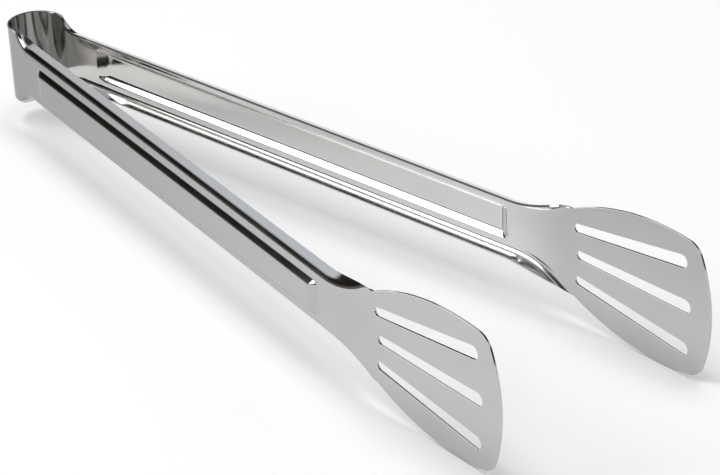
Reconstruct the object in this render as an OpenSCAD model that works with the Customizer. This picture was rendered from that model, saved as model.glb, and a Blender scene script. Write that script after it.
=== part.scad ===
// Spring tongs bent from one long strip of stainless sheet.
// A tight bow at the back is the spring. Two channel arms run forward from it,
// each stiffened by rolled-in edges and by a long panel pressed outwards,
// and each ends in a flat, fan-slotted blade.
//
// X runs forwards to the blades, Y across the gap and Z up across the strip.
// The origin is under the middle of the tongs, at the height of their lowest edge.

/* [Strip] */
// Thickness of the sheet
sheet_t = 0.8; // [0.5:0.1:1.2]
// Width of the flat strip round the bow
band_w = 26.6; // [24:0.1:34]

/* [Bow] */
// Outer radius of the bow
bow_r = 9.6; // [8:0.1:16]
// Angle that each arm leans outwards
arm_lean = 7.25; // [3:0.05:9]

/* [Arms] */
// Length of an arm, from the end of the bow to the bend before the blade
arm_l = 218; // [170:1:300]
// Width of the flat web between the two rolled edges
web_w = 14.8; // [13:0.1:20]
// Outer radius of the rolled edge
roll_r = 2; // [1.6:0.1:3]
// Angle that the edge is rolled through
roll_angle = 70; // [60:1:85]
// Straight width of the lip beyond the roll
lip_w = 2.7; // [1.5:0.1:4]
// Distance from the end of the bow to where the edges are fully rolled
roll_start = 12.7; // [12:0.1:18]
// Radius of the sweep that leads the wide bow into the narrow arm
shoulder_r = 12.6; // [9:0.1:14]

/* [Pressed panel] */
// Distance from the end of the bow to the panel
panel_start = 23.5; // [20:0.5:50]
// Gap between the panel and the bend before the blade
panel_end_gap = 11.5; // [8:0.5:40]
// Width of the panel at its root
panel_w = 11.6; // [8:0.1:13]
// Height that the panel stands out of the web
panel_rise = 1.5; // [0.8:0.1:2]
// Width of the panel's sloping wall
panel_slope = 1.3; // [0.8:0.1:2]

/* [Neck] */
// Distance from where the web starts to widen to the bend before the blade
neck_lead = 15; // [9:0.5:24]
// Distance over which the lip runs at full depth inside the neck
neck_full_lip = 5.5; // [2:0.5:8]
// Angle that each blade still leans outwards
blade_lean = 1.4; // [0:0.1:3]

/* [Blade] */
// Length of a blade, from the bend to the tip
blade_l = 75.4; // [70:0.1:100]
// Greatest width of a blade
blade_w = 44.8; // [38:0.1:56]
// Distance from the bend to the widest place
widest_at = 55.3; // [48:0.1:60]
// Radius of the long flanks
flank_r = 87; // [75:1:120]
// Radius of the tip edge
tip_r = 47; // [38:1:80]
// Radius of the two tip corners
corner_r = 6.3; // [3:0.1:10]

/* [Slots] */
// Number of slots in a blade
slot_count = 3; // [1:2:3]
// Distance from the bend to the near end of the middle slot
slot_start = 20.5; // [18:0.1:24]
// Length of a slot, end to end
slot_l = 47; // [30:0.5:47]
// Width of a slot at its near end
slot_near_w = 3; // [2:0.1:4]
// Width of a slot at its tip end
slot_tip_w = 4.2; // [2.5:0.1:5]
// Distance between the slots at their near ends
slot_pitch = 8.5; // [7:0.1:9]
// Angle between neighbouring slots
slot_fan = 7; // [4:0.1:8]
// Amount by which each outer slot is set back
slot_set_back = 0.9; // [0:0.1:2]

/* [Hidden] */
$fn = 64;
// Angle of one facet along the drawn arcs, and round the small slot ends
arc_step = 3;
slot_step = 18;
// Overshoot that carries a cut past the face it cuts
over = 1;
// Depth that the rolled edge's section reaches back into the web
tuck = 0.4;
// Share of each sweep that carries a lip
lip_share = 0.95;
// Step left where a drawn outline takes over from a true arc
hair = 0.02;
// Size that reaches past the whole object
far = 500;

// A length to the nearest hundredth, so that neighbouring curves meet exactly.
function neat(length) = round(length * 100) / 100;

web_edge = web_w / 2;
band_edge = band_w / 2;
lip_depth = roll_r * (1 - cos(roll_angle)) + lip_w * sin(roll_angle);

// The place on the bow where an arm leaves it, measured from the bow's centre.
leave_x = -bow_r * sin(arm_lean);
leave_y = bow_r * cos(arm_lean);

// The foot of the shoulder sweep, where the strip is still its full width.
shoulder_rise = band_edge - web_edge;
shoulder_run = sqrt(pow(shoulder_r, 2) - pow(shoulder_r - shoulder_rise, 2));
shoulder_angle = asin(shoulder_run / shoulder_r);
shoulder_foot = roll_start - shoulder_run;

// The bend turns the arm's lean into the blade's lean.
bend_angle = arm_lean - blade_lean;
neck_start = arm_l - neck_lead;

// The neck sweep is the one arc that starts along the web's edge
// and runs smoothly into the blade's flank.
flank_z = blade_w / 2 - flank_r;
neck_reach = widest_at + neck_lead;
neck_drop = web_edge - flank_z;
neck_r = neat((pow(neck_reach, 2) + pow(neck_drop, 2) - pow(flank_r, 2)) / (2 * (flank_r - neck_drop)));
neck_angle = asin(neck_reach / (flank_r + neck_r));
neck_end = neat(neck_r * sin(neck_angle) - neck_lead);
neck_end_z = web_edge + neck_r * (1 - cos(neck_angle));

// The corner circle touches the flank circle and the tip circle from inside.
tip_x = blade_l - tip_r;
to_flank = flank_r - corner_r;
to_tip = tip_r - corner_r;
between = norm([widest_at - tip_x, flank_z]);
along = (pow(to_tip, 2) - pow(to_flank, 2) + pow(between, 2)) / (2 * between);
across = sqrt(pow(to_tip, 2) - pow(along, 2));
toward = [widest_at - tip_x, flank_z] / between;
corner = [tip_x, 0] + along * toward + across * [-toward.y, toward.x];
flank_end = atan2(corner.y - flank_z, corner.x - widest_at);
tip_end = atan2(corner.y, corner.x - tip_x);

// The whole length centres the object on the origin.
blade_tip_x = leave_x + arm_l * cos(arm_lean) + blade_l * cos(blade_lean) + sheet_t * sin(blade_lean);
bow_x = (bow_r - blade_tip_x) / 2;
base_z = blade_w / 2;

// Points along an arc, in steps of about the given angle.
function arc(centre, r, from, to, step = arc_step) =
  let (n = max(2, ceil(abs(to - from) / step)))
  [for (i = [0:n]) centre + r * [cos(from + (to - from) * i / n), sin(from + (to - from) * i / n)]];

function reversed(list) = [for (i = [len(list) - 1:-1:0]) list[i]];
function mirrored(list) = [for (p = reversed(list)) [p.x, -p.y]];

// A sheet of the strip's thickness, from a drawing in X and Z, with its outer face at Y = 0.
module sheet() {
  rotate([90, 0, 0]) linear_extrude(sheet_t) children();
}

// Web between two places, cut from a strip of width w by a sweep of radius r along both edges.
module swept_web(from, to, w, sweep_x, r) {
  difference() {
    translate([from, -w / 2]) square([to - from, w]);
    for (side = [-1, 1]) translate([sweep_x, side * (web_edge + r)]) circle(r);
  }
}

// Everything on the bow's side of the bend, or on the blade's side.
module bow_side_of_bend() {
  translate([arm_l, 0, 0]) rotate([0, 0, -bend_angle / 2])
    translate([-far, -far / 2, -far / 2]) cube(far);
}

module blade_side_of_bend() {
  rotate([0, 0, bend_angle / 2]) translate([0, -far / 2, -far / 2]) cube(far);
}

// Section of the rolled edge: its root in the web, a roll and a straight lip.
module roll_section() {
  translate([-tuck, -sheet_t]) square([tuck, sheet_t]);
  translate([0, -roll_r]) {
    intersection() {
      difference() {
        circle(roll_r);
        circle(roll_r - sheet_t);
      }
      polygon([[0, 0], [0, roll_r + over], [roll_r * 2, roll_r + over],
        (roll_r * 3) * [sin(roll_angle), cos(roll_angle)]]);
    }
    rotate(-roll_angle) translate([0, roll_r - sheet_t]) square([lip_w, sheet_t]);
  }
}

// The rolled edge carried along a sweep of the web's edge, from where the sweep starts.
module roll_arc(sweep_x, r, sweep) {
  translate([sweep_x, 0, web_edge + r]) rotate([-90, 0, 0]) rotate([0, 0, 90])
    rotate_extrude(angle = sweep) translate([r, 0]) mirror([1, 0]) roll_section();
}

// Depth profile of the lip: it grows out of the bow's edge, then fades away in the neck.
module lip_limit(start, full_from, full_to, end) {
  linear_extrude(far, center = true)
    polygon([[start, 0], [full_from, -lip_depth], [full_to, -lip_depth], [end, 0], [end, over],
      [start, over]]);
}

module both_edges() {
  children();
  mirror([0, 0, 1]) children();
}

// Four-sided pressing with sloping walls, from the web's inner face out to its crown.
module pressing() {
  root = [panel_start, arm_l - panel_end_gap];
  crown = root + [panel_slope, -panel_slope];
  depth_in = sheet_t * 2;
  flare = depth_in * panel_slope / panel_rise;
  half = panel_w / 2;
  intersection() {
    translate([arm_l, 0, 0]) rotate([0, -90, 0]) linear_extrude(arm_l)
      polygon([[half + flare, -depth_in], [half - panel_slope, panel_rise],
        [panel_slope - half, panel_rise], [-half - flare, -depth_in]]);
    linear_extrude(far, center = true)
      polygon([[root[0] - flare, -depth_in], [crown[0], panel_rise],
        [crown[1], panel_rise], [root[1] + flare, -depth_in]]);
  }
}

module web() {
  sheet() swept_web(0, roll_start, band_w, roll_start, shoulder_r);
  sheet() translate([roll_start, -web_edge]) square([neck_start - roll_start, web_w]);
  sheet() swept_web(neck_start, arm_l + over, band_w, neck_start, neck_r);
}

module rolled_edge() {
  intersection() {
    union() {
      roll_arc(roll_start, shoulder_r, shoulder_angle * lip_share);
      translate([neck_start, 0, web_edge]) rotate([0, -90, 0])
        linear_extrude(neck_start - roll_start) roll_section();
      roll_arc(neck_start, neck_r, -neck_angle * lip_share);
    }
    lip_limit(shoulder_foot, roll_start, neck_start + neck_full_lip, arm_l + neck_end);
  }
}

// One arm, with its outer face in the plane Y = 0 and the bow's end at X = 0.
module arm() {
  intersection() {
    difference() {
      union() {
        web();
        both_edges() rolled_edge();
        intersection() {
          pressing();
          translate([0, -sheet_t, -far / 2]) cube(far);
        }
      }
      translate([0, -sheet_t, 0]) pressing();
    }
    bow_side_of_bend();
  }
}

// Tapered slot with round ends, along +X from its near end.
module slot() {
  near_r = slot_near_w / 2;
  end_r = slot_tip_w / 2;
  run = slot_l - near_r - end_r;
  tilt = asin((end_r - near_r) / run);
  upper = concat(
    arc([near_r, 0], near_r, 180, 90 + tilt, slot_step),
    arc([near_r + run, 0], end_r, 90 + tilt, 0, slot_step));
  polygon(concat(upper, mirrored(upper)));
}

module slots() {
  middle = (slot_count - 1) / 2;
  rotate([90, 0, 0]) translate([0, 0, -over]) linear_extrude(sheet_t + 2 * over)
    for (i = [-middle:middle])
      translate([slot_start - abs(i) * slot_set_back, i * slot_pitch]) rotate(i * slot_fan) slot();
}

// One blade, with its outer face in the plane Y = 0 and the bend at X = 0.
module blade() {
  upper = concat(
    [[neck_end, neck_end_z - hair]],
    arc([widest_at, flank_z], flank_r, 90 + neck_angle - arc_step, 90),
    arc([widest_at, flank_z], flank_r, 90, flank_end),
    arc(corner, corner_r, flank_end, tip_end),
    arc([tip_x, 0], tip_r, tip_end, 0));
  intersection() {
    union() {
      difference() {
        union() {
          sheet() swept_web(-over, neck_end, blade_w, -neck_lead, neck_r);
          sheet() polygon(concat(upper, mirrored(upper)));
        }
        slots();
      }
      both_edges() intersection() {
        roll_arc(-neck_lead, neck_r, -neck_angle * lip_share);
        lip_limit(-2 * neck_lead, -neck_lead, neck_full_lip - neck_lead, neck_end);
      }
    }
    blade_side_of_bend();
  }
}

// Puts an arm, or what is on it, on the left of the bow.
module on_left() {
  translate([bow_x, 0, base_z]) translate([leave_x, leave_y, 0]) rotate([0, 0, arm_lean]) children();
}

module on_right() {
  mirror([0, 1, 0]) on_left() children();
}

module after_bend() {
  translate([arm_l, 0, 0]) rotate([0, 0, -bend_angle]) children();
}

// The strip's middle, bent round the back: the spring.
module spring_bow() {
  color("silver") translate([bow_x, 0, base_z]) rotate([0, 0, 90 + arm_lean])
    rotate_extrude(angle = 180 - 2 * arm_lean)
      translate([bow_r - sheet_t, -band_edge]) square([sheet_t, band_w]);
}

module left_arm() {
  color("silver") on_left() arm();
}

module right_arm() {
  color("silver") on_right() arm();
}

module left_blade() {
  color("gainsboro") on_left() after_bend() blade();
}

module right_blade() {
  color("gainsboro") on_right() after_bend() blade();
}

spring_bow();
left_arm();
right_arm();
left_blade();
right_blade();
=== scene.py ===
"""Spring tongs, bent from one strip of stainless sheet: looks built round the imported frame."""

import math

import bpy
import bmesh
import numpy as np
from mathutils import Matrix, Vector


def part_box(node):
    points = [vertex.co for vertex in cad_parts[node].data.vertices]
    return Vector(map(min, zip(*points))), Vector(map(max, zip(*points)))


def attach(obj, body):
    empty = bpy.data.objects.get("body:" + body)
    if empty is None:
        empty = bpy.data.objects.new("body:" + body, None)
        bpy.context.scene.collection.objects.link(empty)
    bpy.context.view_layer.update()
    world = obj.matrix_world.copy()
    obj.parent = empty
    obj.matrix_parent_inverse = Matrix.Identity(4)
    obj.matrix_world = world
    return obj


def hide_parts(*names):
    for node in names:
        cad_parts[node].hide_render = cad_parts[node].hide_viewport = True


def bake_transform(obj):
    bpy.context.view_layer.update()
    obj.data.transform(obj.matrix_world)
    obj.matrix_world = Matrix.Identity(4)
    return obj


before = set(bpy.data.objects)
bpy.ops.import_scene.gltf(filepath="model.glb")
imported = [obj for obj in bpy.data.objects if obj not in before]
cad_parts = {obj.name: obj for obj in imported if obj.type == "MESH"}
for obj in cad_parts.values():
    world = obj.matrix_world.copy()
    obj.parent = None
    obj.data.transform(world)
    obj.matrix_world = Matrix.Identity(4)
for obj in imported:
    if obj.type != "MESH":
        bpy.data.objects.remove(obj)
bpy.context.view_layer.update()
scene = bpy.context.scene

# ---------------------------------------------------------------- camera
# A long lens looks down along the tongs from beside the right-hand blade,
# turned a little so that the tongs lie level in the picture.
AIM = Vector((0.0687, -0.0221, 0.0389))
AZIMUTH, ELEVATION, ROLL = (math.radians(a) for a in (53.57, 27.10, -3.22))
DISTANCE = 0.8589
LENS_MM = 149.9
SENSOR_MM = 36

camera = bpy.data.objects.new("camera", bpy.data.cameras.new("camera"))
camera.data.lens = LENS_MM
camera.data.sensor_width = SENSOR_MM
camera.data.clip_start = 0.01
back = Vector((
    math.sin(AZIMUTH) * math.cos(ELEVATION),
    -math.cos(AZIMUTH) * math.cos(ELEVATION),
    math.sin(ELEVATION),
))
across = Vector((0, 0, 1)).cross(back).normalized()
up = back.cross(across)
camera_x = across * math.cos(ROLL) + up * math.sin(ROLL)
camera_y = back.cross(camera_x)
facing = Matrix((camera_x, camera_y, back)).transposed()
camera.matrix_world = Matrix.Translation(AIM + back * DISTANCE) @ facing.to_4x4()
scene.collection.objects.link(camera)
scene.camera = camera

# ---------------------------------------------------------------- table and light
# A white table under a wide overhead diffuser that the steel doesn't mirror, with a
# window to the left and a pale tent high up. Steel mirrors the dim room between them.
TABLE_HALF = 2.5
TABLE_COLOUR = (0.88, 0.875, 0.865, 1)
TABLE_Z = -0.0004
TABLE_ROUGHNESS = 0.9
HORIZON_COLOUR = (0.16, 0.155, 0.15, 1)
GAP_COLOUR = (0.020, 0.016, 0.012, 1)
TENT_COLOUR = (0.74, 0.76, 0.80, 1)
TENT_TOP_COLOUR = (0.60, 0.64, 0.70, 1)
CEILING_COLOUR = (0.06, 0.055, 0.05, 1)
TENT_TILT = math.radians(15)
HORIZON_TOP = 0.05
GAP_FOOT, GAP_TOP = 0.14, 0.485
TENT_FOOT, TENT_TOP = 0.53, 0.76
CEILING = 0.83
DIFFUSER_POWER = 2.25
DIFFUSER_SPREAD = math.radians(50)
DIFFUSER_HEIGHT = 1
WINDOW_PLACE = Vector((-0.84, -1.09, 0.88))
WINDOW_FACES = Vector((0, 0, 0.1))
WINDOW_WIDTH, WINDOW_HEIGHT = 0.72, 0.95
WINDOW_WATTS = 9

table_mesh = bpy.data.meshes.new("table")
table_mesh.from_pydata(
    [(x * TABLE_HALF, y * TABLE_HALF, TABLE_Z) for x, y in ((-1, -1), (1, -1), (1, 1), (-1, 1))],
    [],
    [(0, 1, 2, 3)],
)
table = bpy.data.objects.new("table", table_mesh)
scene.collection.objects.link(table)
table_paint = bpy.data.materials.new("table_paint")
table_paint.use_nodes = True
table_shader = table_paint.node_tree.nodes["Principled BSDF"]
table_shader.inputs["Base Color"].default_value = TABLE_COLOUR
table_shader.inputs["Roughness"].default_value = TABLE_ROUGHNESS
table_mesh.materials.append(table_paint)

world = bpy.data.worlds.new("tent")
world.use_nodes = True
world_nodes, world_links = world.node_tree.nodes, world.node_tree.links
direction = world_nodes.new("ShaderNodeTexCoord")
height_of = world_nodes.new("ShaderNodeVectorMath")
height_of.operation = "DOT_PRODUCT"
height_of.inputs[1].default_value = (0, math.sin(TENT_TILT), math.cos(TENT_TILT))
tent = world_nodes.new("ShaderNodeValToRGB")
world_links.new(direction.outputs["Generated"], height_of.inputs[0])
world_links.new(height_of.outputs["Value"], tent.inputs["Fac"])
world_links.new(tent.outputs["Color"], world_nodes["Background"].inputs["Color"])
ramp = tent.color_ramp.elements
ramp[0].position, ramp[0].color = HORIZON_TOP, HORIZON_COLOUR
ramp[1].position, ramp[1].color = TENT_TOP, TENT_TOP_COLOUR
for place, colour in (
    (GAP_FOOT, GAP_COLOUR),
    (GAP_TOP, GAP_COLOUR),
    (TENT_FOOT, TENT_COLOUR),
    (CEILING, CEILING_COLOUR),
):
    ramp.new(place).color = colour
scene.world = world
scene.view_settings.view_transform = "Standard"

diffuser = bpy.data.lights.new("overhead_diffuser", "SUN")
diffuser.energy = DIFFUSER_POWER
diffuser.angle = DIFFUSER_SPREAD
overhead = bpy.data.objects.new("overhead_diffuser", diffuser)
overhead.location = (0, 0, DIFFUSER_HEIGHT)
overhead.visible_glossy = False
scene.collection.objects.link(overhead)

window = bpy.data.lights.new("side_window", "AREA")
window.shape = "RECTANGLE"
window.size = WINDOW_WIDTH
window.size_y = WINDOW_HEIGHT
window.energy = WINDOW_WATTS
window_turn = (WINDOW_FACES - WINDOW_PLACE).to_track_quat("-Z", "Y").to_matrix()
beside = bpy.data.objects.new("side_window", window)
beside.matrix_world = Matrix.Translation(WINDOW_PLACE) @ window_turn.to_4x4()
scene.collection.objects.link(beside)

# ---------------------------------------------------------------- bow
# The middle of the strip, bent cold round a mandrel: flat, full width, and the
# spring of the tongs. It is made in two halves, one for each side.
SHEET = 0.0008
CUT_CHAMFER = 0.0001
BAND_HALF = 0.0133
BOW_RADIUS = 0.0096
ARM_LEAN = math.radians(7.25)
BLADE_LEAN = math.radians(1.4)
BEND_AT = 0.218
BEND_REACH = 0.008
EDGE_LEAD = 0.0004
WEB_COLUMNS = (0, 0.2, 0.38, 0.48, *np.linspace(0.53, 0.86, 19), 0.9, 0.95, 1)
EDGE_COLUMNS = 18
SATIN_EDGE_COLUMNS = 9
BOW_ROWS = 48
INSIDE_OFFSET = 0.1
# Painted shade: the steel colours run darker and a little warmer towards the bow, where the arms
# close in and shade each other, and lighten towards the tip.
POLISHED_PAINTED_SHADE_AT_BOW = (0.58, 0.57, 0.555)
POLISHED_AT_TIP = (0.70, 0.70, 0.70)
# The satin finish is real and rougher, but its colours are painted darker than the polished ones,
# which is painted shade.
SATIN_PAINTED_SHADE_AT_BOW = (0.275, 0.272, 0.268)
SATIN_WITH_PAINTED_SHADE_AT_TIP = (0.515, 0.515, 0.515)
PAINTED_SHADE_ENDS_AT = 0.25
POLISHED_ROUGHNESS = 0.09
SATIN_ROUGHNESS = 0.13
GRAIN_STRENGTH = 0.06
GRAIN_DEPTH = 0.00001
GRAIN_ALONG, GRAIN_ACROSS, GRAIN_DETAIL = 50, 4200, 3
CLOUDS_ALONG, CLOUDS_ACROSS, CLOUDS_DETAIL = 60, 140, 4
CLOUD_DARK, CLOUD_LIGHT = (0.96, 0.96, 0.96), (1.04, 1.04, 1.04)
SHARP_ANGLE = math.radians(32)

bow_low, bow_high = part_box("spring_bow")
BOW_X = bow_low.x + BOW_RADIUS
MIDDLE_Z = (bow_low.z + bow_high.z) / 2
APEX_AT = -BOW_RADIUS * (math.pi / 2 - ARM_LEAN)


def heading(angle):
    return np.array((math.cos(angle), math.sin(angle)))


def strip_plan(s):
    """The outer face in plan at distance s past the end of the bow, and which way it faces."""
    if s < 0:
        facing_angle = math.pi / 2 + ARM_LEAN - s / BOW_RADIUS
        normal = heading(facing_angle)
        return np.array((BOW_X, 0)) + BOW_RADIUS * normal, normal
    turn = ARM_LEAN - BLADE_LEAN
    radius = BEND_REACH / math.tan(turn / 2)
    start, _ = strip_plan(-1e-12)
    turned = min(max((s - BEND_AT + BEND_REACH) / (2 * BEND_REACH), 0), 1) * turn
    lean = ARM_LEAN - turned
    normal = heading(math.pi / 2 + lean)
    point = start + min(s, BEND_AT - BEND_REACH) * heading(ARM_LEAN)
    point = point + radius * (normal - heading(math.pi / 2 + ARM_LEAN))
    point = point + max(s - BEND_AT - BEND_REACH, 0) * heading(BLADE_LEAN)
    return point, normal


def placed(s, y, z):
    """A point of the left-hand strip, from its own distances along, outwards and across."""
    point, normal = strip_plan(s)
    x_row, y_row = point + normal * y
    return (x_row, y_row, MIDDLE_Z + z)


def half_section(station, depth):
    """Half of the strip's section at a station, in own distances, at a depth below its outer face.

    A station is (fold x, fold z, way across the fold as an angle, roll radius, length rolled,
    panel height, share of satin finish outside as far as the start of the roll, the same
    everywhere else). The satin share is a real, rougher finish, and it also darkens the colour with
    painted shade.
    """
    fold_x, fold_z, swing, radius, rolled, height = station[:6]
    out_x, out_z = math.sin(swing), math.cos(swing)
    web_x, web_z = fold_x - EDGE_LEAD * out_x, fold_z - EDGE_LEAD * out_z
    points = [(web_x, height(web_x, web_z * c) - depth, web_z * c) for c in WEB_COLUMNS]
    length = EDGE_LEAD + rolled - CUT_CHAMFER
    runs = [length * (k + 1) / EDGE_COLUMNS for k in range(EDGE_COLUMNS)]
    for run in runs + [length + CUT_CHAMFER]:
        curled = max(run - EDGE_LEAD, 0)
        angle = min(curled / radius, ROLL_ANGLE)
        straight = max(curled - radius * ROLL_ANGLE, 0)
        reach = min(run, EDGE_LEAD) - EDGE_LEAD
        reach += (radius - depth) * math.sin(angle) + straight * math.cos(angle)
        drop = radius - (radius - depth) * math.cos(angle) + straight * math.sin(angle)
        points.append((fold_x + reach * out_x, -drop, fold_z + reach * out_z))
    return points


def station_ring(station):
    """Closed ring round the sheet at a station, with the cut edges chamfered."""
    faces = [half_section(station, depth) for depth in (0, SHEET)]
    cut = [half_section(station, depth)[-1] for depth in (CUT_CHAMFER, SHEET - CUT_CHAMFER)]
    ring = []
    for face, corner in zip(faces, cut):
        half = face[:-1] + [corner]
        other_half = [(x, y, -z) for x, y, z in half[:0:-1]]
        whole = other_half + half
        ring += whole if not ring else whole[::-1]
    return ring


def strip_mesh(name, stations, side, steel):
    """Closed, smooth sheet through the stations, on the left (side 1) or the right (side -1)."""
    rings = [station_ring(station) for station in stations]
    rows, count = len(rings), len(rings[0])
    half = count // 2
    vertices = [placed(*point) for ring in rings for point in ring]
    vertices = [(x, y * side, z) for x, y, z in vertices]
    web = range(EDGE_COLUMNS - SATIN_EDGE_COLUMNS, half - EDGE_COLUMNS + SATIN_EDGE_COLUMNS)
    # The satin share gives a rougher finish and, through the colour, painted shade darker than the
    # polished steel.
    satin_share = [
        station[6] if k in web else station[7] for station in stations for k in range(count)
    ]
    faces, uvs = [], []
    around = []
    for ring in rings:
        points = np.array(ring + ring[:1])
        steps = np.linalg.norm(np.diff(points[:, 1:], axis=0), axis=1)
        outer, inner = steps[:half], steps[half:]
        starts = [np.cumsum(part) - part - part.sum() / 2 for part in (outer, inner)]
        starts[1] += INSIDE_OFFSET
        around.append((np.concatenate(starts), steps))
    for i in range(rows - 1):
        along, next_along = stations[i][0], stations[i + 1][0]
        low, high = i * count, (i + 1) * count
        for k in range(count):
            after = (k + 1) % count
            faces.append((low + k, low + after, high + after, high + k))
            (here, step), (there, next_step) = around[i], around[i + 1]
            uvs += [(along, here[k]), (along, here[k] + step[k])]
            uvs += [(next_along, there[k] + next_step[k]), (next_along, there[k])]
    for row in (0, rows - 1):
        for k in range(half - 1):
            cap = [row * count + j for j in (k, k + 1, count - 2 - k, count - 1 - k)]
            faces.append(cap[::-1] if row == 0 else cap)
            uvs += [(stations[row][0], around[row][0][k])] * 4
    mesh = bpy.data.meshes.new(name)
    mesh.from_pydata(vertices, [], faces)
    mesh.uv_layers.new(name="strip").data.foreach_set("uv", np.array(uvs, dtype=np.float32).ravel())
    mesh.attributes.new("satin", "FLOAT", "POINT").data.foreach_set("value", satin_share)
    if side < 0:
        mesh.flip_normals()
    mesh.shade_smooth()
    mesh.set_sharp_from_angle(angle=SHARP_ANGLE)
    mesh.materials.append(steel)
    piece = bpy.data.objects.new(name, mesh)
    scene.collection.objects.link(piece)
    return piece


def sheet_steel(name):
    """Rolled stainless with a fine grain along the strip, satin by the piece's own share. Its
    colour carries painted shade: darker and a little warmer towards the bow, and darker on the
    satin parts.
    """
    steel = bpy.data.materials.new(name)
    steel.use_nodes = True
    nodes, links = steel.node_tree.nodes, steel.node_tree.links
    shader = nodes["Principled BSDF"]
    shader.inputs["Metallic"].default_value = 1
    strip_uv = nodes.new("ShaderNodeUVMap")
    strip_uv.uv_map = "strip"
    satin = nodes.new("ShaderNodeAttribute")
    satin.attribute_name = "satin"

    def noise(along, across_it, detail):
        mapping = nodes.new("ShaderNodeMapping")
        mapping.inputs["Scale"].default_value = (along, across_it, 1)
        pattern = nodes.new("ShaderNodeTexNoise")
        pattern.inputs["Scale"].default_value = 1
        pattern.inputs["Detail"].default_value = detail
        links.new(strip_uv.outputs["UV"], mapping.inputs["Vector"])
        links.new(mapping.outputs["Vector"], pattern.inputs["Vector"])
        return pattern.outputs["Fac"]

    def between(low, high, factor):
        mix = nodes.new("ShaderNodeMix")
        mix.data_type = "FLOAT" if isinstance(low, float) else "RGBA"
        sockets = [i for i in mix.inputs if i.enabled]
        links.new(factor, sockets[0])
        for socket, value in zip(sockets[1:], (low, high)):
            if isinstance(value, bpy.types.NodeSocket):
                links.new(value, socket)
            else:
                socket.default_value = value if isinstance(value, float) else (*value, 1)
        return [o for o in mix.outputs if o.enabled][0]

    def times(a, b):
        product = nodes.new("ShaderNodeVectorMath")
        product.operation = "MULTIPLY"
        links.new(a, product.inputs[0])
        links.new(b, product.inputs[1])
        return product.outputs["Vector"]

    grain_lines = noise(GRAIN_ALONG, GRAIN_ACROSS, GRAIN_DETAIL)
    clouds = noise(CLOUDS_ALONG, CLOUDS_ACROSS, CLOUDS_DETAIL)
    cloudy = between(CLOUD_DARK, CLOUD_LIGHT, clouds)
    # Painted shade: the colour is darkest at the bow and lifts towards the tip, and the satin share
    # darkens it further.
    distance = nodes.new("ShaderNodeSeparateXYZ")
    links.new(strip_uv.outputs["UV"], distance.inputs["Vector"])
    painted_shade_fade = nodes.new("ShaderNodeMapRange")
    painted_shade_fade.inputs["From Max"].default_value = PAINTED_SHADE_ENDS_AT
    links.new(distance.outputs["X"], painted_shade_fade.inputs["Value"])
    polished_and_painted_shade = between(POLISHED_PAINTED_SHADE_AT_BOW, POLISHED_AT_TIP, painted_shade_fade.outputs["Result"])
    satin_and_painted_shade = between(SATIN_PAINTED_SHADE_AT_BOW, SATIN_WITH_PAINTED_SHADE_AT_TIP, painted_shade_fade.outputs["Result"])
    finish_and_painted_shade = between(polished_and_painted_shade, satin_and_painted_shade, satin.outputs["Fac"])
    links.new(times(finish_and_painted_shade, cloudy), shader.inputs["Base Color"])

    wear = nodes.new("ShaderNodeMath")
    wear.operation = "MULTIPLY"
    links.new(between(POLISHED_ROUGHNESS, SATIN_ROUGHNESS, satin.outputs["Fac"]), wear.inputs[0])
    uneven = nodes.new("ShaderNodeMath")
    uneven.operation = "ADD"
    links.new(clouds, uneven.inputs[0])
    links.new(grain_lines, uneven.inputs[1])
    links.new(uneven.outputs["Value"], wear.inputs[1])
    links.new(wear.outputs["Value"], shader.inputs["Roughness"])

    bump = nodes.new("ShaderNodeBump")
    bump.inputs["Strength"].default_value = GRAIN_STRENGTH
    bump.inputs["Distance"].default_value = GRAIN_DEPTH
    links.new(grain_lines, bump.inputs["Height"])
    links.new(bump.outputs["Normal"], shader.inputs["Normal"])
    return steel


ROLL_RADIUS = 0.0026
ROLL_ANGLE = math.radians(70)
polished = sheet_steel("polished_strip")


def no_panel(s, z):
    return 0


for side, hand in ((1, "left"), (-1, "right")):
    # Inside, the bow is satin at the apex and polished where it meets the arms. The satin's darker
    # colour in the bow's hollow is painted shade.
    spread = [1 - (1 - k / BOW_ROWS) ** 2 for k in range(BOW_ROWS + 1)]
    half_bow = strip_mesh(
        f"{hand}_bow_half",
        [(APEX_AT * (1 - t), BAND_HALF, 0, ROLL_RADIUS, 0, no_panel, 1, 1 - t) for t in spread],
        side,
        polished,
    )
    end = placed(0, 0, 0)
    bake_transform(half_bow)
    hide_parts("spring_bow")

# ---------------------------------------------------------------- arms
# Each arm is the same strip pressed into a channel: its edges are rolled in, and
# a long panel is pressed outwards between them so that the arm stays stiff.
WEB_HALF = 0.0071
EDGE_HALF = 0.01255
ROLL_START = 0.0127
SHOULDER_RADIUS = 0.0126
WIDE_ROLL_RADIUS = 0.0032
NECK_RADIUS = 0.045
NECK_END = BEND_AT + 0.0192
NECK_END_HALF = 0.01456
SWING_FADE = 0.006
SATIN_FROM, SATIN_TO = 0.208, 0.236
PANEL_START = 0.0205
PANEL_END = 0.2090
PANEL_HALF = 0.0058
PANEL_RISE = 0.0015
PANEL_CORNER = 0.0016
END_STEEPNESS = 0.5
WALL_ROOT = 0.0002
WALL_STRAIGHT = 0.0010
WALL_WIDTH = 0.0025
PANEL_LEAD = 0.0004
PANEL_END_ZONE = 0.0062

SHOULDER_FOOT = ROLL_START - math.sqrt(
    SHOULDER_RADIUS**2 - (SHOULDER_RADIUS - BAND_HALF + WEB_HALF) ** 2
)
NECK_START = NECK_END - math.sqrt(
    NECK_RADIUS**2 - (NECK_RADIUS - NECK_END_HALF + WEB_HALF) ** 2
)


def smooth(t):
    t = np.clip(t, 0, 1)
    return t * t * (3 - 2 * t)


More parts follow.
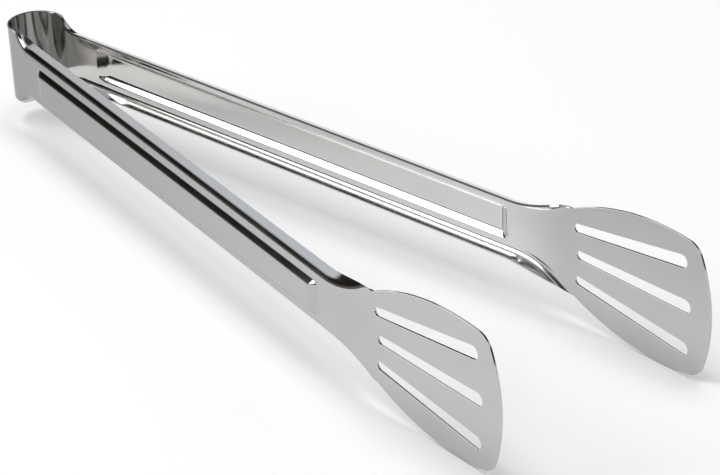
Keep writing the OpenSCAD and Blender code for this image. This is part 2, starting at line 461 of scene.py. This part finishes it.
wall_at = np.linspace(-WALL_ROOT, WALL_WIDTH, 200)
wall_slope = smooth((wall_at + WALL_ROOT) / (2 * WALL_ROOT))
wall_slope *= 1 - smooth((wall_at - WALL_STRAIGHT) / (WALL_WIDTH - WALL_STRAIGHT))
wall_height = np.cumsum(wall_slope)
wall_height *= PANEL_RISE / wall_height[-1]


def panel_height(s, z):
    """How far the pressed panel stands out: a rounded oblong with a rounded crown."""
    half_l = (PANEL_END - PANEL_START) / 2
    dx = (abs(s - (PANEL_START + PANEL_END) / 2) - half_l) * END_STEEPNESS + PANEL_CORNER
    dz = abs(z) - PANEL_HALF + PANEL_CORNER
    outside = math.hypot(max(dx, 0), max(dz, 0)) + min(max(dx, dz), 0) - PANEL_CORNER
    return float(np.interp(-outside, wall_at, wall_height, left=0, right=PANEL_RISE))


def strip_station(s):
    """The strip's section at distance s past the bow, from the bow to the end of the neck."""
    swing, fold, radius, edge = 0, WEB_HALF, ROLL_RADIUS, EDGE_HALF
    if s <= ROLL_START:
        swing = math.asin((ROLL_START - max(s, SHOULDER_FOOT)) / SHOULDER_RADIUS)
        fold += SHOULDER_RADIUS * (1 - math.cos(swing))
        t = min((ROLL_START - s) / (ROLL_START - SHOULDER_FOOT), 1)
        edge += (BAND_HALF - edge) * t
        radius += (WIDE_ROLL_RADIUS - radius) * t
    elif s > NECK_START:
        swing = -math.asin((s - NECK_START) / NECK_RADIUS)
        fold += NECK_RADIUS * (1 - math.cos(swing))
        t = (s - NECK_START) / (NECK_END - NECK_START)
        edge += (NECK_END_HALF - edge) * t
        radius += (WIDE_ROLL_RADIUS - radius) * t
    rolled = (edge - fold) / math.cos(swing)
    swing *= smooth(s / SHOULDER_FOOT) * smooth((NECK_END - s) / SWING_FADE)
    inside = smooth((s - SATIN_FROM) / (SATIN_TO - SATIN_FROM))
    return (s, fold, swing, radius, max(rolled, 0), panel_height, 1, inside)


shoulder_turn = math.asin((ROLL_START - SHOULDER_FOOT) / SHOULDER_RADIUS)
panel_in, panel_full = PANEL_START - PANEL_LEAD, PANEL_START + PANEL_END_ZONE
panel_fades, panel_out = PANEL_END - PANEL_END_ZONE, PANEL_END + PANEL_LEAD
arm_rows = np.concatenate((
    np.linspace(0, SHOULDER_FOOT, 10)[:-1],
    ROLL_START - SHOULDER_RADIUS * np.sin(np.linspace(shoulder_turn, 0, 60)),
    np.linspace(ROLL_START, panel_in, 7)[1:-1],
    np.linspace(panel_in, panel_full, 44),
    np.linspace(panel_full, panel_fades, 40)[1:-1],
    np.linspace(panel_fades, panel_out, 44),
    np.linspace(panel_out, BEND_AT, 30)[1:],
))

for side, hand in ((1, "left"), (-1, "right")):
    arm = strip_mesh(f"{hand}_arm_strip", [strip_station(s) for s in arm_rows], side, polished)
    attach(arm, f"{hand}_side")
    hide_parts(f"{hand}_arm")

# ---------------------------------------------------------------- necks
# Past the bend the channel opens out: the rolled edges run down to nothing
# where the flat blade begins. The same sheet, left with a satin finish.
NECK_LEAD = 0.001

satin = sheet_steel("satin_blade")
neck_rows = np.concatenate((
    np.linspace(BEND_AT, BEND_AT + NECK_LEAD, 5)[:-1],
    np.linspace(BEND_AT + NECK_LEAD, NECK_END, 46),
))
for side, hand in ((1, "left"), (-1, "right")):
    neck = strip_mesh(f"{hand}_neck", [strip_station(s) for s in neck_rows], side, satin)
    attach(neck, f"{hand}_side")
    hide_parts(f"{hand}_blade")

# ---------------------------------------------------------------- blades
# Flat paddles blanked from the same strip, with three tapered slots that fan
# out towards the tip and let sauce or oil drain through.
FLANK_RADIUS = 0.087
BLADE_HALF = 0.0224
WIDEST_AT = 0.0553
BLADE_LENGTH = 0.0754
TIP_RADIUS = 0.047
CORNER_RADIUS = 0.0063
SLOT_START = 0.0205
SLOT_LENGTH = 0.047
SLOT_NEAR_HALF = 0.0015
SLOT_TIP_HALF = 0.0021
SLOT_COUNT = 3
SLOT_PITCH = 0.0085
SLOT_FAN = math.radians(7)
SLOT_SET_BACK = 0.0009
WELD_DISTANCE = 1e-6
SEAM_SLACK = 1e-5
CUT_EDGE_ANGLE = 1


def arc_points(centre, radius, start, end, count):
    angles = np.linspace(start, end, count)
    return [(centre[0] + radius * math.cos(a), centre[1] + radius * math.sin(a)) for a in angles]


def blade_outline():
    """Half outline of the flat blade, from the end of the neck round to the tip."""
    flank_z = BLADE_HALF - FLANK_RADIUS
    flank_start = math.pi / 2 + math.asin((WIDEST_AT - NECK_END + BEND_AT) / FLANK_RADIUS)
    tip_x = BLADE_LENGTH - TIP_RADIUS
    to_flank, to_tip = FLANK_RADIUS - CORNER_RADIUS, TIP_RADIUS - CORNER_RADIUS
    gap = math.hypot(WIDEST_AT - tip_x, flank_z)
    along = (to_tip**2 - to_flank**2 + gap**2) / (2 * gap)
    off = math.sqrt(to_tip**2 - along**2)
    way = ((WIDEST_AT - tip_x) / gap, flank_z / gap)
    corner = (tip_x + along * way[0] - off * way[1], along * way[1] + off * way[0])
    flank_end = math.atan2(corner[1] - flank_z, corner[0] - WIDEST_AT)
    tip_end = math.atan2(corner[1], corner[0] - tip_x)
    return (
        [(NECK_END - BEND_AT, NECK_END_HALF)]
        + arc_points((WIDEST_AT, flank_z), FLANK_RADIUS, flank_start, flank_end, 50)[1:-1]
        + arc_points(corner, CORNER_RADIUS, flank_end, tip_end, 24)[:-1]
        + arc_points((tip_x, 0), TIP_RADIUS, tip_end, 0, 20)
    )


def slot_outline():
    """Half outline of one tapered slot along +X from its near end."""
    run = SLOT_LENGTH - SLOT_NEAR_HALF - SLOT_TIP_HALF
    tilt = math.asin((SLOT_TIP_HALF - SLOT_NEAR_HALF) / run)
    side_at = math.pi / 2 + tilt
    return (
        arc_points((SLOT_NEAR_HALF, 0), SLOT_NEAR_HALF, math.pi, side_at, 11)
        + arc_points((SLOT_NEAR_HALF + run, 0), SLOT_TIP_HALF, side_at, 0, 13)
    )


def closed_by_mirror(half):
    """The half outline and its mirror image, without repeating points on the centreline."""
    mirrored = [(x, -z) for x, z in half[::-1] if abs(z) > 1e-9]
    return half + mirrored


def slotted_plate_tree():
    """Geometry nodes that fan a slot out across a blank, and give the sheet its thickness."""
    tree = bpy.data.node_groups.new("slotted_plate", "GeometryNodeTree")
    face = tree.interface
    face.new_socket("Geometry", in_out="INPUT", socket_type="NodeSocketGeometry")
    face.new_socket("Geometry", in_out="OUTPUT", socket_type="NodeSocketGeometry")
    for title, kind in (
        ("Slot Count", "NodeSocketInt"),
        ("Slot Start", "NodeSocketFloat"),
        ("Slot Pitch", "NodeSocketFloat"),
        ("Slot Fan", "NodeSocketFloat"),
        ("Set Back", "NodeSocketFloat"),
        ("Thickness", "NodeSocketFloat"),
        ("Steel", "NodeSocketMaterial"),
    ):
        face.new_socket(title, in_out="INPUT", socket_type=kind)
    link = tree.links.new
    given = tree.nodes.new("NodeGroupInput").outputs

    def node(kind, **settings):
        made = tree.nodes.new(kind)
        for key, value in settings.items():
            setattr(made, key, value)
        return made

    def math_node(operation, a, b=None):
        made = node("ShaderNodeMath", operation=operation)
        for socket, value in zip(made.inputs, (a, b)):
            if isinstance(value, (int, float)):
                socket.default_value = value
            elif value is not None:
                link(value, socket)
        return made.outputs["Value"]

    is_slot = node("GeometryNodeInputNamedAttribute", data_type="BOOLEAN")
    is_slot.inputs["Name"].default_value = "slot"
    split = node("GeometryNodeSeparateGeometry", domain="POINT")
    link(given["Geometry"], split.inputs["Geometry"])
    link(is_slot.outputs["Attribute"], split.inputs["Selection"])

    step = math_node(
        "SUBTRACT",
        node("GeometryNodeInputIndex").outputs["Index"],
        math_node("DIVIDE", math_node("SUBTRACT", given["Slot Count"], 1), 2),
    )
    set_back = math_node("MULTIPLY", math_node("ABSOLUTE", step), given["Set Back"])
    place = node("ShaderNodeCombineXYZ")
    link(math_node("SUBTRACT", given["Slot Start"], set_back), place.inputs["X"])
    link(math_node("MULTIPLY", step, given["Slot Pitch"]), place.inputs["Y"])
    turn = node("ShaderNodeCombineXYZ")
    link(math_node("MULTIPLY", step, given["Slot Fan"]), turn.inputs["Z"])
    spots = node("GeometryNodePoints")
    link(given["Slot Count"], spots.inputs["Count"])
    link(place.outputs["Vector"], spots.inputs["Position"])
    fan = node("GeometryNodeInstanceOnPoints")
    link(spots.outputs["Points"], fan.inputs["Points"])
    link(split.outputs["Selection"], fan.inputs["Instance"])
    link(turn.outputs["Vector"], fan.inputs["Rotation"])
    slots = node("GeometryNodeRealizeInstances")
    link(fan.outputs["Instances"], slots.inputs["Geometry"])

    outlines = node("GeometryNodeJoinGeometry")
    for loops in (split.outputs["Inverted"], slots.outputs["Geometry"]):
        as_curve = node("GeometryNodeMeshToCurve")
        link(loops, as_curve.inputs["Mesh"])
        link(as_curve.outputs["Curve"], outlines.inputs["Geometry"])
    fill = node("GeometryNodeFillCurve")
    link(outlines.outputs["Geometry"], fill.inputs["Curve"])
    thicken = node("GeometryNodeExtrudeMesh", mode="FACES")
    thicken.inputs["Individual"].default_value = False
    link(fill.outputs["Mesh"], thicken.inputs["Mesh"])
    link(given["Thickness"], thicken.inputs["Offset Scale"])
    underside = node("GeometryNodeFlipFaces")
    link(fill.outputs["Mesh"], underside.inputs["Mesh"])
    both = node("GeometryNodeJoinGeometry")
    link(thicken.outputs["Mesh"], both.inputs["Geometry"])
    link(underside.outputs["Mesh"], both.inputs["Geometry"])
    weld = node("GeometryNodeMergeByDistance")
    weld.inputs["Distance"].default_value = WELD_DISTANCE
    link(both.outputs["Geometry"], weld.inputs["Geometry"])
    whole = node("GeometryNodeRealizeInstances")
    link(weld.outputs["Geometry"], whole.inputs["Geometry"])
    paint = node("GeometryNodeSetMaterial")
    link(whole.outputs["Geometry"], paint.inputs["Geometry"])
    link(given["Steel"], paint.inputs["Material"])
    link(paint.outputs["Geometry"], tree.nodes.new("NodeGroupOutput").inputs["Geometry"])
    return tree


def loops_mesh(name, loops):
    """Flat edge loops as one mesh, the later ones marked as slots."""
    mesh = bpy.data.meshes.new(name)
    points, edges, marks = [], [], []
    for number, loop in enumerate(loops):
        first = len(points)
        points += [(x, z, 0) for x, z in loop]
        edges += [(first + k, first + (k + 1) % len(loop)) for k in range(len(loop))]
        marks += [number > 0] * len(loop)
    mesh.from_pydata(points, edges, [])
    mark = mesh.attributes.new("slot", "BOOLEAN", "POINT")
    mark.data.foreach_set("value", marks)
    return mesh


plate_tree = slotted_plate_tree()
plate_inputs = {
    "Slot Count": SLOT_COUNT,
    "Slot Start": SLOT_START,
    "Slot Pitch": SLOT_PITCH,
    "Slot Fan": SLOT_FAN,
    "Set Back": SLOT_SET_BACK,
    "Thickness": SHEET,
    "Steel": satin,
}

for side, hand in ((1, "left"), (-1, "right")):
    blank = loops_mesh(
        f"{hand}_blade_blank", [closed_by_mirror(blade_outline()), closed_by_mirror(slot_outline())]
    )
    plate = bpy.data.objects.new(f"{hand}_blade_plate", blank)
    scene.collection.objects.link(plate)
    modifier = plate.modifiers.new("slotted_plate", "NODES")
    modifier.node_group = plate_tree
    for item in plate_tree.interface.items_tree:
        if item.in_out == "INPUT" and item.name in plate_inputs:
            modifier[item.identifier] = plate_inputs[item.name]
    graph = bpy.context.evaluated_depsgraph_get()
    mesh = bpy.data.meshes.new_from_object(plate.evaluated_get(graph))
    plate.modifiers.remove(modifier)
    plate.data = mesh
    bpy.data.meshes.remove(blank)

    shaped = bmesh.new()
    shaped.from_mesh(mesh)
    bmesh.ops.recalc_face_normals(shaped, faces=shaped.faces)
    seam_x = NECK_END - BEND_AT
    cut_edges = [
        e for e in shaped.edges
        if e.calc_face_angle(0) > CUT_EDGE_ANGLE
        and max(v.co.x for v in e.verts) > seam_x + SEAM_SLACK
    ]
    bmesh.ops.bevel(shaped, geom=cut_edges, offset=CUT_CHAMFER, segments=1, affect="EDGES")
    layer = shaped.loops.layers.uv.new("strip")
    satin_layer = shaped.verts.layers.float.new("satin")
    for v in shaped.verts:
        v[satin_layer] = 1
    for polygon in shaped.faces:
        for corner in polygon.loops:
            corner[layer].uv = (BEND_AT + corner.vert.co.x, 2 * BAND_HALF + corner.vert.co.y)
    low = min(v.co.z for v in shaped.verts)
    for v in shaped.verts:
        x, y, z = placed(BEND_AT + v.co.x, v.co.z - low - SHEET, v.co.y)
        v.co = (x, y * side, z)
    bmesh.ops.recalc_face_normals(shaped, faces=shaped.faces)
    # The recalculation can turn a sheet this thin inside out as a whole, so its volume decides.
    if shaped.calc_volume(signed=True) < 0:
        bmesh.ops.reverse_faces(shaped, faces=shaped.faces)
    shaped.to_mesh(mesh)
    shaped.free()
    mesh.shade_smooth()
    mesh.set_sharp_from_angle(angle=SHARP_ANGLE)
    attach(plate, f"{hand}_side")
    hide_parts(f"{hand}_blade")
